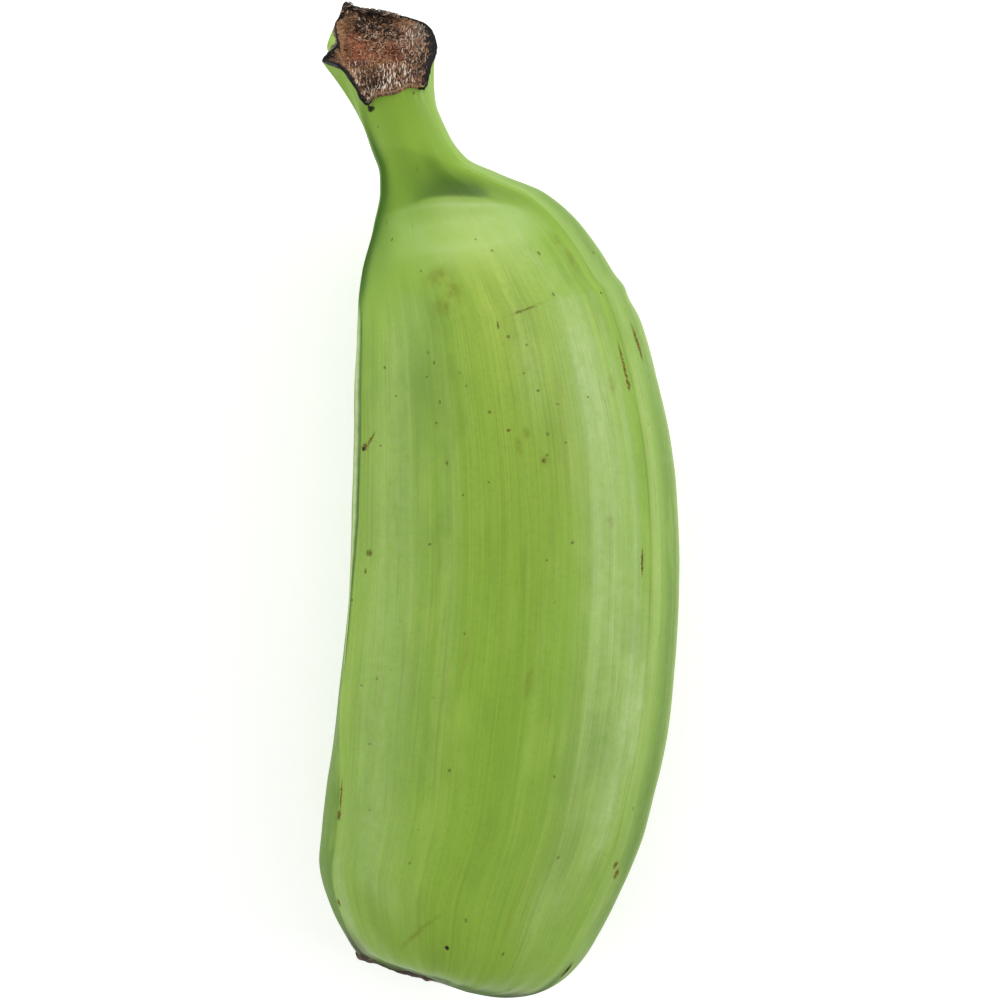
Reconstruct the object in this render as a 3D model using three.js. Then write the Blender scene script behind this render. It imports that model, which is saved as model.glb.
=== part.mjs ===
// A green cooking plantain, as picked and cut from its hand: one grown solid with five soft
// ridges, a narrow neck, an obliquely cut woody crown and a blunt blossom end. It lies on one
// flank. Millimetres, +X to the outer curve, +Y to the stem, +Z up, origin under its middle.
import * as THREE from "three";

// Driving dimensions.
const HALF_THICKNESS = 24.5; // body, from its middle plane to the crest of either flank
const NECK_THICKNESS = 7.5; // the same, in the neck
const PRESSED = 0.7; // how much of the lower flank is flat where the fruit rests
const BLOSSOM_Y = -96.8; // where the spine starts, at the blossom end
const NECK_Y = 76; // where the neck starts to widen into the crown
const CROWN_LENGTH = 9; // the stretch over which it does
const END_ROUNDING = 27; // length over which the blossom end closes
const OUTER_BLUNTNESS = 3; // 2 is a round end, more is a squarer one
const INNER_BLUNTNESS = 4; // the same, on the inner side of the curve
const RIDGE_SOFTNESS = 0.055; // how far a ridge is rounded, as a share of the local width
const STRETCH_WEIGHTS = [1, 2, 3, 2, 1]; // of the places averaged to round a ridge
const SHOULDER_SKEW = 9; // how much further down the shoulder starts on its outer side
const LIP_FLARE = 2.8; // how far the peel bulges below the rim on the inner side
const CUT_DISH = 0.9; // how deep the cut face sinks inside its rim
const MIDDLE_Z = HALF_THICKNESS - PRESSED;

// Faceting.
const BODY_ROWS = 62;
const CROWN_ROWS = 8;
const CUT_RINGS = 6;
const FACE_COLUMNS = [14, 5, 5, 13, 9];

// A smooth curve through [place, value] points, with no overshoot between them.
function profile(points) {
  const slopes = points.slice(1).map((p, i) => (p[1] - points[i][1]) / (p[0] - points[i][0]));
  const tangents = points.map((_, i) => {
    const before = slopes[i - 1] ?? slopes[i];
    const after = slopes[i] ?? before;
    return before * after <= 0 ? 0 : (2 * before * after) / (before + after);
  });
  return (place) => {
    const last = points.length - 2;
    const next = points.findIndex((p) => p[0] > place);
    const i = next < 0 ? last : THREE.MathUtils.clamp(next - 1, 0, last);
    const [[x0, y0], [x1, y1]] = [points[i], points[i + 1]];
    const span = x1 - x0;
    const u = THREE.MathUtils.clamp((place - x0) / span, 0, 1);
    const rise = (y1 - y0) * u * u * (3 - 2 * u);
    const enter = tangents[i] * span * u * (1 - u) * (1 - u);
    const leave = tangents[i + 1] * span * u * u * (1 - u);
    return y0 + rise + enter - leave;
  };
}

// The spine and the cross-section, against the spine's own Y.
const spineX = profile([
  [-97, -12], [-60, -2], [0, 3.4], [36, 0], [54, -8], [65, -15], [80, -20.6], [92, -23.2],
]);
const spineZ = profile([[-97, -1.5], [-50, 0], [50, 0], [90, 1]]);
const acrossTilt = profile([
  [-97, -15], [-80, -11], [-60, -8], [0, 3], [36, 14], [54, 24], [65, 22], [80, 15], [92, 12],
]);
const innerReach = profile([
  [-97, 22], [-88, 26.3], [-76, 31.4], [-60, 33], [0, 33.4], [20, 32.1], [36, 29.9],
  [47, 26.2], [54, 21.7], [60, 14.7], [65, 9.8], [70, 8], [78, 8], [90, 12],
]);
const outerReach = profile([
  [-97, 29], [-84, 28.5], [-60, 32.4], [-40, 34], [-20, 33.5], [0, 32.2], [20, 29.8],
  [36, 26.3], [39, 24.4], [43, 23.2], [48, 21.7], [54, 18.5], [60, 12.8], [65, 8.8],
  [70, 7.7], [78, 7.3], [90, 10],
]);
const ridgeThickness = profile([
  [-97, 22.5], [-60, 24], [-20, HALF_THICKNESS], [20, HALF_THICKNESS], [36, 23.3],
  [46, 20.5], [54, 16.5], [60, 12], [66, 8.4], [NECK_Y, NECK_THICKNESS], [90, 9.5],
]);

// How far each face swells beyond the chord between its two ridges.
const flankSwell = profile([
  [-97, 0.5], [30, 0.48], [42, 0.46], [50, 0.34], [56, 0.1], [61, -0.14], [66, 0], [72, 0.22],
]);
const innerSwell = profile([[-97, 2.4], [-66, 3.2], [-40, 1.3], [30, 0.8], [70, 0.7]]);
const outerSwell = profile([[-97, 1.6], [0, 1.1], [40, 1.2], [70, 0.5]]);
const cutDepth = profile([[0, 0], [0.2, 1], [0.6, 0.7], [1, 0.3]]);

// The five ridges, in order round the section from the upper inner one, each as a share of
// the reach on its side and of the thickness.
const RIDGES = [
  { share: -1, height: 0.5 },
  { share: 0.8, height: 0.56 },
  { share: 1, height: -0.05 },
  { share: 0.78, height: -0.58 },
  { share: -0.96, height: -0.52 },
];
const [UPPER_FLANK, UPPER_OUTER, LOWER_OUTER, LOWER_FLANK, INNER_FACE] = RIDGES.keys();
const INNER_MIDDLE = INNER_FACE + 0.5;

// The rim of the cut, as [place round the section, x, y, height over the middle plane].
const RIM = [
  [0, -26.4, 79.2, 7],
  [0.2, -24.6, 81, 8.4],
  [0.5, -21, 81.6, 9],
  [0.8, -17.8, 83, 8.4],
  [1, -15.2, 82.4, 7],
  [1.5, -13.4, 87.2, 3.2],
  [2, -12.8, 91.4, -0.5],
  [2.5, -14.6, 95.8, -5],
  [3, -17.8, 97.8, -8],
  [3.5, -24, 98.6, -9.2],
  [4, -31.2, 100.6, -8],
  [4.3, -32.4, 95.5, -4.5],
  [4.55, -32.4, 91, -0.5],
  [4.7, -35.2, 87.8, 1.5],
  [4.82, -31.6, 86.4, 4],
  [4.92, -29.4, 82.8, 6],
];
const LIP_PLACE = 4.45; // where round the section the peel bulges below the rim
const LIP_SPREAD = 0.24;

function ridgePoint(index, y) {
  const { share, height } = RIDGES[index % RIDGES.length];
  const reach = share < 0 ? innerReach(y) - innerSwell(y) : outerReach(y);
  return new THREE.Vector2(share * reach, height * ridgeThickness(y));
}

function swell(face, y, f) {
  if (face === INNER_FACE) return innerSwell(y);
  if (face === UPPER_OUTER || face === LOWER_OUTER) return outerSwell(y);
  const along = y + SHOULDER_SKEW * f * f;
  const fromOuter = y + SHOULDER_SKEW * (1 - f) * (1 - f);
  return flankSwell(face === UPPER_FLANK ? along : fromOuter) * ridgeThickness(y);
}

// A point of the sharp-edged section, v counting ridges and f running across one face.
function sharpSection(y, v) {
  const turn = THREE.MathUtils.euclideanModulo(v, RIDGES.length);
  const face = Math.floor(turn);
  const f = turn - face;
  const start = ridgePoint(face, y);
  const chord = ridgePoint(face + 1, y).sub(start);
  const outward = new THREE.Vector2(-chord.y, chord.x).normalize();
  const rise = swell(face, y, f) * 4 * f * (1 - f);
  return start.addScaledVector(chord, f).addScaledVector(outward, rise);
}

// The place round the section that lies a distance further on, across a ridge if need be.
function walk(y, v, distance) {
  const onward = distance > 0;
  const face = onward ? Math.floor(v) : Math.ceil(v) - 1;
  const width = (i) => {
    const index = THREE.MathUtils.euclideanModulo(i, RIDGES.length);
    return ridgePoint(index, y).distanceTo(ridgePoint(index + 1, y));
  };
  const edge = onward ? face + 1 : face;
  const room = (edge - v) * width(face);
  const beyond = distance - room;
  const passes = onward ? beyond > 0 : beyond < 0;
  return passes ? edge + beyond / width(onward ? face + 1 : face - 1) : v + distance / width(face);
}

// The section with its ridges rounded, by averaging over a short stretch round it.
function softSection(y, v) {
  const step = RIDGE_SOFTNESS * 0.5 * (innerReach(y) + outerReach(y));
  const middle = (STRETCH_WEIGHTS.length - 1) / 2;
  const sum = new THREE.Vector2();
  STRETCH_WEIGHTS.forEach((weight, i) => {
    const place = i === middle ? v : walk(y, v, (i - middle) * step);
    sum.addScaledVector(sharpSection(y, place), weight);
  });
  return sum.divideScalar(STRETCH_WEIGHTS.reduce((total, weight) => total + weight));
}

// How far the section has closed at the blossom end, squarer towards the inner side.
function endClosing(y, v) {
  const gone = THREE.MathUtils.clamp(1 - (y - BLOSSOM_Y) / END_ROUNDING, 0, 1);
  const innerShare = 0.5 + 0.5 * Math.cos((2 * Math.PI * (v - INNER_MIDDLE)) / RIDGES.length);
  const bluntness = THREE.MathUtils.lerp(OUTER_BLUNTNESS, INNER_BLUNTNESS, innerShare);
  return Math.pow(1 - Math.pow(gone, bluntness), 1 / bluntness);
}

function skinPoint(y, v) {
  const { x: across, y: height } = softSection(y, v).multiplyScalar(endClosing(y, v));
  const tilt = THREE.MathUtils.degToRad(acrossTilt(y));
  return new THREE.Vector3(
    spineX(y) + across * Math.cos(tilt),
    y + across * Math.sin(tilt),
    spineZ(y) + height,
  );
}

const rimCurve = new THREE.CatmullRomCurve3(
  RIM.map(([, x, y, z]) => new THREE.Vector3(x, y, z)),
  true,
);

function rimPoint(v) {
  const next = RIM.findIndex(([place]) => place > v);
  const i = next < 0 ? RIM.length - 1 : next - 1;
  const end = next < 0 ? RIDGES.length : RIM[next][0];
  return rimCurve.getPoint((i + (v - RIM[i][0]) / (end - RIM[i][0])) / RIM.length);
}

// From the neck to the rim, with the peel bulging out below the rim on the inner side.
function crownPoint(u, v) {
  const onRim = THREE.MathUtils.smoothstep(u, 0, 1);
  const point = skinPoint(NECK_Y + CROWN_LENGTH * u, v).lerp(rimPoint(v), onRim);
  const nearLip = Math.exp(-Math.pow((v - LIP_PLACE) / LIP_SPREAD, 2));
  point.x -= LIP_FLARE * nearLip * Math.sin(Math.PI * u * u);
  return point;
}

// The cut face: rings from the rim to its middle, sunk a little inside the rim.
function cutRings(rim) {
  const middle = rim.reduce((sum, p) => sum.add(p), new THREE.Vector3()).divideScalar(rim.length);
  const facing = new THREE.Vector3();
  rim.forEach((p, i) => {
    const next = rim[(i + 1) % rim.length];
    facing.add(p.clone().sub(middle).cross(next.clone().sub(middle)));
  });
  facing.normalize();
  const sink = (t) => facing.clone().multiplyScalar(-CUT_DISH * cutDepth(t));
  const rings = [];
  for (let i = 1; i < CUT_RINGS; i++) {
    const t = i / CUT_RINGS;
    rings.push(rim.map((p) => p.clone().lerp(middle, t).add(sink(t))));
  }
  return { rings, pole: middle.add(sink(1)) };
}

const columns = FACE_COLUMNS.flatMap((count, face) =>
  Array.from({ length: count }, (_, i) => face + i / count),
);

// Rows lie closer together towards the blossom end and in the shoulder.
function rowPlaces() {
  const spread = profile([
    [0, BLOSSOM_Y], [0.12, -92], [0.3, -72], [0.62, 20], [0.85, 56], [1, NECK_Y],
  ]);
  return Array.from({ length: BODY_ROWS }, (_, i) => spread((i + 1) / BODY_ROWS));
}

function plantainGeometry() {
  const rows = rowPlaces().map((y) => columns.map((v) => skinPoint(y, v)));
  for (let i = 1; i <= CROWN_ROWS; i++) rows.push(columns.map((v) => crownPoint(i / CROWN_ROWS, v)));
  const cut = cutRings(rows[rows.length - 1]);
  rows.push(...cut.rings);
  const blossomPole = new THREE.Vector3(spineX(BLOSSOM_Y), BLOSSOM_Y, spineZ(BLOSSOM_Y));
  const points = [blossomPole, ...rows.flat(), cut.pole];
  points.forEach((p) => (p.z = Math.max(0, p.z + MIDDLE_Z)));
  return closedLoft(points, rows.length, columns.length);
}

// Triangles of a closed loft: a pole, rows of equal length, and a second pole.
function closedLoft(points, rowCount, perRow) {
  const at = (row, i) => 1 + row * perRow + (i % perRow);
  const lastPole = points.length - 1;
  const triangles = [];
  for (let i = 0; i < perRow; i++) {
    triangles.push(0, at(0, i + 1), at(0, i));
    triangles.push(at(rowCount - 1, i), at(rowCount - 1, i + 1), lastPole);
    for (let row = 0; row < rowCount - 1; row++) {
      triangles.push(at(row, i), at(row + 1, i + 1), at(row + 1, i));
      triangles.push(at(row, i), at(row, i + 1), at(row + 1, i + 1));
    }
  }
  return new THREE.BufferGeometry().setFromPoints(points).setIndex(triangles);
}

// Puts the origin under the middle of the shape's box; it already rests on z = 0.
function centred(geometry) {
  geometry.computeBoundingBox();
  const middle = geometry.boundingBox.getCenter(new THREE.Vector3());
  geometry.translate(-middle.x, -middle.y, 0);
  geometry.computeVertexNormals();
  return geometry;
}

const skin = new THREE.MeshStandardMaterial({ color: 0x86a944, roughness: 0.45, metalness: 0 });
const plantain = new THREE.Mesh(centred(plantainGeometry()), skin);
plantain.name = "plantain";

const root = new THREE.Group();
root.add(plantain);
export default root;
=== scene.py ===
"""A green plantain lying on its flank on a pale table, seen from straight above.

The peel, the cut woody end with its fibres, and the dry remains at the blossom end follow the
same ridges, spine and rim as the solid in the frame. Shapes are worked out in millimetres in the
fruit's own frame (+X outer curve, +Y stem, +Z up from its middle plane) and stored in metres.
"""
import random
from math import cos, pi, radians, sin

import bpy
import numpy as np
from mathutils import Matrix, Vector, noise
from numpy.linalg import norm


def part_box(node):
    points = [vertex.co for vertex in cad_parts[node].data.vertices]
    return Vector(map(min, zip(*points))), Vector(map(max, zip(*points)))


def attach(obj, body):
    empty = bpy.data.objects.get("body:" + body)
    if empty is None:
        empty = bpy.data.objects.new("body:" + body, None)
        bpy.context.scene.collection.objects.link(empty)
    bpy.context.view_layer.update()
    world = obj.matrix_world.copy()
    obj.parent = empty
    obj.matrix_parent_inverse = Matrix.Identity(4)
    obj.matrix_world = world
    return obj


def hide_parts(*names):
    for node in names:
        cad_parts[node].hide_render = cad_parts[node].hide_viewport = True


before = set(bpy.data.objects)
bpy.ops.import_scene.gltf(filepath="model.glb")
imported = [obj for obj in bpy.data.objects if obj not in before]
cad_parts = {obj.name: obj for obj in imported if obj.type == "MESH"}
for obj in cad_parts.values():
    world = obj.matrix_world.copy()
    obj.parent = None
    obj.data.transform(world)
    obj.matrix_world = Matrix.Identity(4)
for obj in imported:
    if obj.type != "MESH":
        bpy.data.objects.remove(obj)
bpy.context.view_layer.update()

MM = 0.001
SCENE = bpy.context.scene

# ---- driving dimensions, in mm
HALF_THICKNESS = 24.5
NECK_THICKNESS = 7.5
PRESSED = 0.7
BLOSSOM_Y = -96.8
NECK_Y = 76.0
CROWN_LENGTH = 9.0
END_ROUNDING = 27.0
OUTER_BLUNTNESS = 3.0
INNER_BLUNTNESS = 4.0
RIDGE_SOFTNESS = 0.055
STRETCH_WEIGHTS = (1, 2, 3, 2, 1)
SHOULDER_SKEW = 9.0
LIP_FLARE = 2.5
LIP_PLACE = 4.49
LIP_SPREAD = 0.17
CUT_DISH = 0.9
MIDDLE_Z = HALF_THICKNESS - PRESSED

BODY_ROWS = 320
CROWN_ROWS = 44
FACE_COLUMNS = (72, 30, 30, 64, 66)
RIDGE_GATHERING = 0.6
CUT_RINGS = 60
BROWN_EDGE = 0.4
PEEL_CAP_DEPTH = 3.0
CAP_STEEPNESS = 0.62
CUT_BACK = 2.5
TOP_STEEPNESS = 0.42
CUT_OVERLAP = 0.22
CRUST_MIDDLE = (-19, -94.3, 1.5)
CRUST_THICKNESS = 0.06

# ---- the picture, in metres
CAMERA_REACH = 0.9
PICTURE_WIDTH = 0.2
CAMERA_PLANE = 0.024
SENSOR_WIDTH = 36
LAMP_DISTANCE = 1.0
LAMP_AIM = 0.03
WORLD_LIGHT = 0.5
TABLE_REACH = 2.0
TABLE_GREY = 0.85
TABLE_GLOW = 0.4


def profile(points):
    """A smooth curve through (place, value) points, with no overshoot between them."""
    places, values = np.array(points, float).T
    spans = np.diff(places)
    slopes = np.diff(values) / spans
    before, after = np.r_[slopes[0], slopes], np.r_[slopes, slopes[-1]]
    same_way = before * after > 0
    tangents = np.where(same_way, 2 * before * after / np.where(same_way, before + after, 1), 0)

    def at(place):
        place = np.clip(place, places[0], places[-1])
        i = np.clip(np.searchsorted(places, place, side="right") - 1, 0, len(spans) - 1)
        u = (place - places[i]) / spans[i]
        rise = (values[i + 1] - values[i]) * u * u * (3 - 2 * u)
        enter = tangents[i] * spans[i] * u * (1 - u) ** 2
        leave = tangents[i + 1] * spans[i] * u * u * (1 - u)
        return values[i] + rise + enter - leave

    return at


spine_x = profile([
    (-97, -12), (-60, -2), (0, 3.4), (36, 0), (54, -8), (65, -15), (80, -20.6), (92, -23.2),
])
spine_z = profile([(-97, -1.5), (-50, 0), (50, 0), (90, 1)])
across_tilt = profile([
    (-97, -15), (-80, -11), (-60, -8), (0, 3), (36, 14), (54, 24), (65, 22), (80, 15), (92, 12),
])
inner_reach = profile([
    (-97, 22), (-88, 26.3), (-76, 31.4), (-60, 33), (0, 33.4), (20, 32.1), (36, 29.9),
    (47, 26.2), (54, 21.7), (60, 14.7), (65, 9.8), (70, 8), (78, 8), (90, 12),
])
outer_reach = profile([
    (-97, 29), (-84, 28.5), (-60, 32.4), (-40, 34), (-20, 33.5), (0, 32.2), (20, 29.8),
    (36, 26.3), (39, 24.4), (43, 23.2), (48, 21.7), (54, 18.5), (60, 12.8), (65, 8.8),
    (70, 7.7), (78, 7.3), (90, 10),
])
ridge_thickness = profile([
    (-97, 22.5), (-60, 24), (-20, HALF_THICKNESS), (20, HALF_THICKNESS), (36, 23.3),
    (46, 20.5), (54, 16.5), (60, 12), (66, 8.4), (NECK_Y, NECK_THICKNESS), (90, 9.5),
])
flank_swell = profile([
    (-97, 0.5), (30, 0.48), (44, 0.46), (52.5, 0.38), (58, 0.12), (62.5, -0.16), (67, -0.02), (72, 0.22),
])
inner_swell = profile([(-97, 2.4), (-66, 3.2), (-40, 1.3), (30, 0.8), (70, 0.7)])
outer_swell = profile([(-97, 1.6), (0, 1.1), (40, 1.2), (70, 0.5)])
cut_depth = profile([(0, 0), (0.2, 1), (0.6, 0.7), (1, 0.3)])
row_spread = profile([
    (0, BLOSSOM_Y), (0.12, -92), (0.3, -72), (0.62, 20), (0.85, 56), (1, NECK_Y),
])

# The five ridges round the section, as shares of the reach on their side and the thickness.
RIDGE_SHARES = np.array([-1, 0.8, 1, 0.78, -0.96])
RIDGE_HEIGHTS = np.array([0.5, 0.56, -0.05, -0.58, -0.52])
RIDGES = 5
UPPER_FLANK, UPPER_OUTER, LOWER_OUTER, LOWER_FLANK, INNER_FACE = range(RIDGES)

# How much crisper than the softest each ridge is, by place round the section.
crispness = profile([
    (0, 0.85), (0.3, 0.1), (0.7, 0.1), (1, 0.5), (1.5, 0.2), (2, 0.75), (2.5, 0.1), (4, 0.3),
    (4.6, 0.1), (5, 0.85),
])

# The rim of the cut, as (place round the section, x, y, height over the middle plane).
RIM = (
    (0, -26.4, 78.7, 7), (0.2, -24.6, 80.2, 8.4), (0.5, -21, 80.8, 9), (0.8, -17.8, 82.2, 8.4),
    (1, -15.2, 81.9, 7), (1.5, -13.6, 87.2, 3.2), (2, -12.8, 91.4, -0.5), (2.5, -14.9, 95.5, -5),
    (3, -18.2, 97.1, -8), (3.5, -24, 98.7, -9.2), (3.8, -28.6, 99.2, -8.8), (4, -31.3, 100.2, -8),
    (4.1, -32.1, 97.8, -7), (4.3, -33.1, 95.6, -4.8), (4.55, -32.6, 91.2, -0.5),
    (4.67, -34.4, 89.1, 1), (4.7, -35.4, 88, 1.5), (4.75, -33.7, 87.5, 2.4),
    (4.82, -31.2, 86, 4), (4.92, -29.2, 82.8, 6),
)


# ---- the fruit's own shape
def ridge_point(index, y):
    index = index % RIDGES
    share = RIDGE_SHARES[index]
    reach = np.where(share < 0, inner_reach(y) - inner_swell(y), outer_reach(y))
    return share * reach, RIDGE_HEIGHTS[index] * ridge_thickness(y)


def swell(face, y, f):
    along = flank_swell(y + SHOULDER_SKEW * f * f)
    from_outer = flank_swell(y + SHOULDER_SKEW * (1 - f) ** 2)
    flank = np.where(face == UPPER_FLANK, along, from_outer) * ridge_thickness(y)
    outer = (face == UPPER_OUTER) | (face == LOWER_OUTER)
    return np.where(face == INNER_FACE, inner_swell(y), np.where(outer, outer_swell(y), flank))


def sharp_section(y, v):
    turn = v % RIDGES
    face = np.floor(turn).astype(int)
    f = turn - face
    start_x, start_z = ridge_point(face, y)
    end_x, end_z = ridge_point(face + 1, y)
    chord_x, chord_z = end_x - start_x, end_z - start_z
    rise = swell(face, y, f) * 4 * f * (1 - f) / np.hypot(chord_x, chord_z)
    return start_x + chord_x * f - chord_z * rise, start_z + chord_z * f + chord_x * rise


def walk(y, v, distance, onward):
    """The place round the section that lies a distance further on, across a ridge if need be."""
    face = (np.floor(v) if onward else np.ceil(v) - 1).astype(int)

    def width(i):
        (ax, az), (bx, bz) = ridge_point(i, y), ridge_point(i + 1, y)
        return np.hypot(bx - ax, bz - az)

    edge = face + 1 if onward else face
    beyond = distance - (edge - v) * width(face)
    passes = beyond > 0 if onward else beyond < 0
    past_edge = edge + beyond / width(face + 1 if onward else face - 1)
    return np.where(passes, past_edge, v + distance / width(face))


def soft_section(y, v):
    step = RIDGE_SOFTNESS * (1 - crispness(v % RIDGES)) * 0.5 * (inner_reach(y) + outer_reach(y))
    middle = len(STRETCH_WEIGHTS) // 2
    x, z = 0, 0
    for i, weight in enumerate(STRETCH_WEIGHTS):
        place = v + 0 * y if i == middle else walk(y, v, (i - middle) * step, i > middle)
        at_x, at_z = sharp_section(y, place)
        x, z = x + weight * at_x, z + weight * at_z
    return x / sum(STRETCH_WEIGHTS), z / sum(STRETCH_WEIGHTS)


def end_closing(y, v):
    gone = np.clip(1 - (y - BLOSSOM_Y) / END_ROUNDING, 0, 1)
    inner_share = 0.5 + 0.5 * np.cos(2 * pi * (v - INNER_FACE - 0.5) / RIDGES)
    bluntness = OUTER_BLUNTNESS + (INNER_BLUNTNESS - OUTER_BLUNTNESS) * inner_share
    return (1 - gone ** bluntness) ** (1 / bluntness)


def skin_point(y, v):
    """Points of the peel for spine places y and places v round the section."""
    x, z = soft_section(y, v)
    closing = end_closing(y, v)
    tilt = np.radians(across_tilt(y))
    across = x * closing
    return np.stack([
        spine_x(y) + across * np.cos(tilt),
        y + across * np.sin(tilt),
        spine_z(y) + z * closing,
    ], axis=-1)


def rim_point(v):
    """Centripetal Catmull-Rom curve through the rim's points, at places v."""
    places = np.array([p[0] for p in RIM] + [RIDGES], float)
    points = np.array([p[1:] for p in RIM], float)
    count = len(RIM)
    i = np.clip(np.searchsorted(places, v, side="right") - 1, 0, count - 1)
    u = ((v - places[i]) / (places[i + 1] - places[i]))[:, None]
    p0, p1, p2, p3 = (points[(i + k) % count] for k in (-1, 0, 1, 2))
    spans = ((p0, p1), (p1, p2), (p2, p3))
    d0, d1, d2 = (np.sqrt(norm(b - a, axis=1))[:, None] for a, b in spans)
    enter = d1 * ((p1 - p0) / d0 - (p2 - p0) / (d0 + d1) + (p2 - p1) / d1)
    leave = d1 * ((p2 - p1) / d1 - (p3 - p1) / (d1 + d2) + (p3 - p2) / d2)
    square = -3 * p1 + 3 * p2 - 2 * enter - leave
    cube = 2 * p1 - 2 * p2 + enter + leave
    return p1 + enter * u + square * u ** 2 + cube * u ** 3


def crown_points(u, v, rim):
    """From the neck to the rim, with the peel bulging out below the rim on the inner side."""
    on_rim = (u * u * (3 - 2 * u))[..., None]
    points = skin_point(NECK_Y + CROWN_LENGTH * u, v) * (1 - on_rim) + rim * on_rim
    points[..., 0] -= LIP_FLARE * bell((v - LIP_PLACE) / LIP_SPREAD) * np.sin(pi * u * u)
    return points


# ---- noise and small helpers
def lumps(points, *layers):
    """Smooth noise at points, as the sum of layers of (height, size of a lump, seed)."""
    total = np.zeros(points.shape[:-1])
    for height, size, seed in layers:
        flat = (points / size + seed).reshape(-1, 3)
        total += height * np.array([noise.noise(Vector(p)) for p in flat]).reshape(total.shape)
    return total


def smooth(low, high, value):
    t = np.clip((value - low) / (high - low), 0, 1)
    return t * t * (3 - 2 * t)


def bell(*offsets):
    """1 where every offset is 0, fading to almost 0 where one of them is 2 or more."""
    return np.exp(-sum(offset ** 2 for offset in offsets))


def grid_normals(points):
    """Outward normals of a grid whose columns close round and whose rows run to the stem."""
    along = np.gradient(points, axis=0)
    across = np.roll(points, -1, axis=1) - np.roll(points, 1, axis=1)
    return unit(np.cross(across, along))


def on_table(points):
    """From the fruit's own frame to the row's, in mm, resting on z = 0."""
    placed = points + SHIFT
    placed[..., 2] = np.maximum(placed[..., 2], 0)
    return placed


def unit(vectors):
    return vectors / norm(vectors, axis=-1, keepdims=True)


def side_lengths(ring):
    """How far each point of a closed ring is from the next."""
    return norm(np.roll(ring, -1, axis=0) - ring, axis=-1)


def in_scene(name, data):
    """A new object of the scene that shows a mesh, or holds a lamp or the camera."""
    made = bpy.data.objects.new(name, data)
    SCENE.collection.objects.link(made)
    return made


def mesh_piece(name, points, faces):
    """A new object of the scene from points in metres and faces."""
    mesh = bpy.data.meshes.new(name)
    mesh.from_pydata(points, [], faces)
    mesh.validate()
    mesh.shade_smooth()
    return in_scene(name, mesh)


def loft(name, grid, first_pole, last_pole):
    """A closed mesh from a grid of rows between two poles, all in the row's frame, in mm."""
    rows, per_row = grid.shape[:2]
    points = np.concatenate([[first_pole], grid.reshape(-1, 3), [last_pole]]) * MM
    last = len(points) - 1
    faces = []
    for i in range(per_row):
        j = (i + 1) % per_row
        faces.append((0, 1 + j, 1 + i))
        faces.append((1 + (rows - 1) * per_row + i, 1 + (rows - 1) * per_row + j, last))
    row, i = np.mgrid[0:rows - 1, 0:per_row]
    j = (i + 1) % per_row
    a, b = 1 + row * per_row + i, 1 + row * per_row + j
    quads = np.stack([a, b, b + per_row, a + per_row], axis=-1).reshape(-1, 4)
    return mesh_piece(name, points.tolist(), faces + quads.tolist())


def grid_map(piece, grid):
    """Lays the piece's grid out flat as the map for its baked finish, rows in proportion."""
    per_row = grid.shape[1]
    steps = norm(np.diff(grid, axis=0), axis=-1).mean(axis=1)
    rows = np.r_[steps[0], steps].cumsum()
    rows /= rows[-1] + steps[-1]
    widths = side_lengths(grid[len(grid) // 2])
    columns = np.r_[0, widths.cumsum()] / widths.sum()
    places = []
    for a, b in zip(columns[:-1], columns[1:]):
        places += [((a + b) / 2, 0), (b, rows[0]), (a, rows[0])]
        places += [(a, rows[-1]), (b, rows[-1]), ((a + b) / 2, 1)]
    row, i = np.mgrid[0:len(rows) - 1, 0:per_row]
    left, right, near_end, far_end = columns[i], columns[i + 1], rows[row], rows[row + 1]
    corners = np.stack([left, near_end, right, near_end, right, far_end, left, far_end], axis=-1)
    flat = np.concatenate([np.array(places).ravel(), corners.ravel()])
    piece.data.uv_layers.new(name="OFBake").data.foreach_set("uv", flat)


def add_numbers(piece, name, values):
    """Stores one number, or one vector, for each vertex, for the materials to read."""
    values = np.asarray(values, float)
    kind, key = ("FLOAT", "value") if values.ndim == 1 else ("FLOAT_VECTOR", "vector")
    layer = piece.data.attributes.new(name, kind, "POINT")
    layer.data.foreach_set(key, values.ravel())


def add_grid_numbers(piece, name, grid):
    """The same for a lofted piece, from its grid's values; a pole takes its ring's first."""
    flat = grid.reshape(-1, *grid.shape[2:])
    add_numbers(piece, name, np.concatenate([flat[:1], flat, flat[-1:]]))


# ---- grids shared by the pieces
def gathered(n):
    """n places from 0 to just under 1, closer together at both ends, where the ridges are."""
    even = np.arange(n) / n
    return even - RIDGE_GATHERING * np.sin(2 * pi * even) / (2 * pi)


COLUMNS = np.concatenate([face + gathered(n) for face, n in enumerate(FACE_COLUMNS)])
BODY_Y = row_spread((np.arange(BODY_ROWS) + 1) / BODY_ROWS)[:, None]
CROWN_U = ((np.arange(CROWN_ROWS) + 1) / CROWN_ROWS)[:, None]
SPINE_PLACES = np.concatenate([BODY_Y, NECK_Y + CROWN_LENGTH * CROWN_U])

SMOOTH_RIM = rim_point(COLUMNS)
CUT_MIDDLE = SMOOTH_RIM.mean(axis=0)
SPOKES = SMOOTH_RIM - CUT_MIDDLE
OUTWARD = unit(SPOKES)
CUT_FACING = unit(np.cross(SPOKES, np.roll(SPOKES, -1, axis=0)).sum(axis=0))
CUT_ACROSS = unit(np.cross((0, 1, 0), CUT_FACING))
CUT_UP = np.cross(CUT_FACING, CUT_ACROSS)

# Layers of lumps by which the rim wanders, and by which it is torn, as (height, size, seed).
RIM_WANDER = (0.25, 2.6, 5)
RIM_TEAR = (0.16, 0.8, 9)
LOWER_EDGE_TEAR = 1.4


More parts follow.
